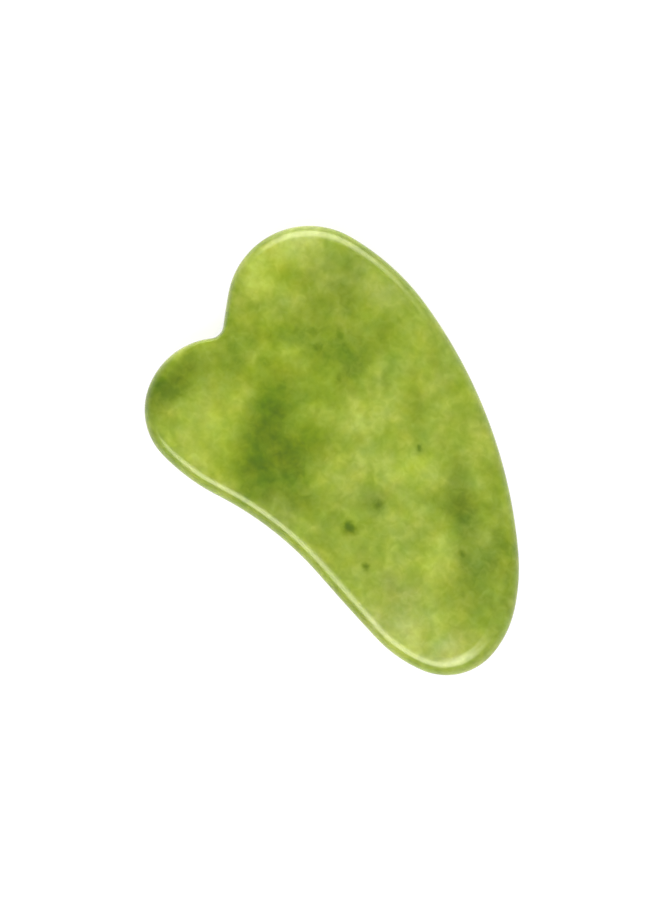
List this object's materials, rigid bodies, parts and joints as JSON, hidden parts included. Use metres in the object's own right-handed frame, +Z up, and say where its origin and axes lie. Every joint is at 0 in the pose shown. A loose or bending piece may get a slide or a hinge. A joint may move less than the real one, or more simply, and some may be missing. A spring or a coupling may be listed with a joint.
{
  "type": "gua sha scraper",
  "caption": "Flat gua sha massage board of polished green stone: a round lobed end with a notch, a round tip, a convex back, a hollow belly and an edge rounded over all the way round.",
  "frame": {"origin": "on the flat underside, below the middle of the board's bounding box", "axes": "+X from the lobed end to the round tip, +Y from the hollow belly to the convex back, +Z up through the thickness"},
  "size_m": [0.084, 0.0552, 0.006],
  "materials": {
    "jade": "polished"
  },
  "bodies": {
    "root": {"jade_board": "jade"}
  },
  "joints": []
}
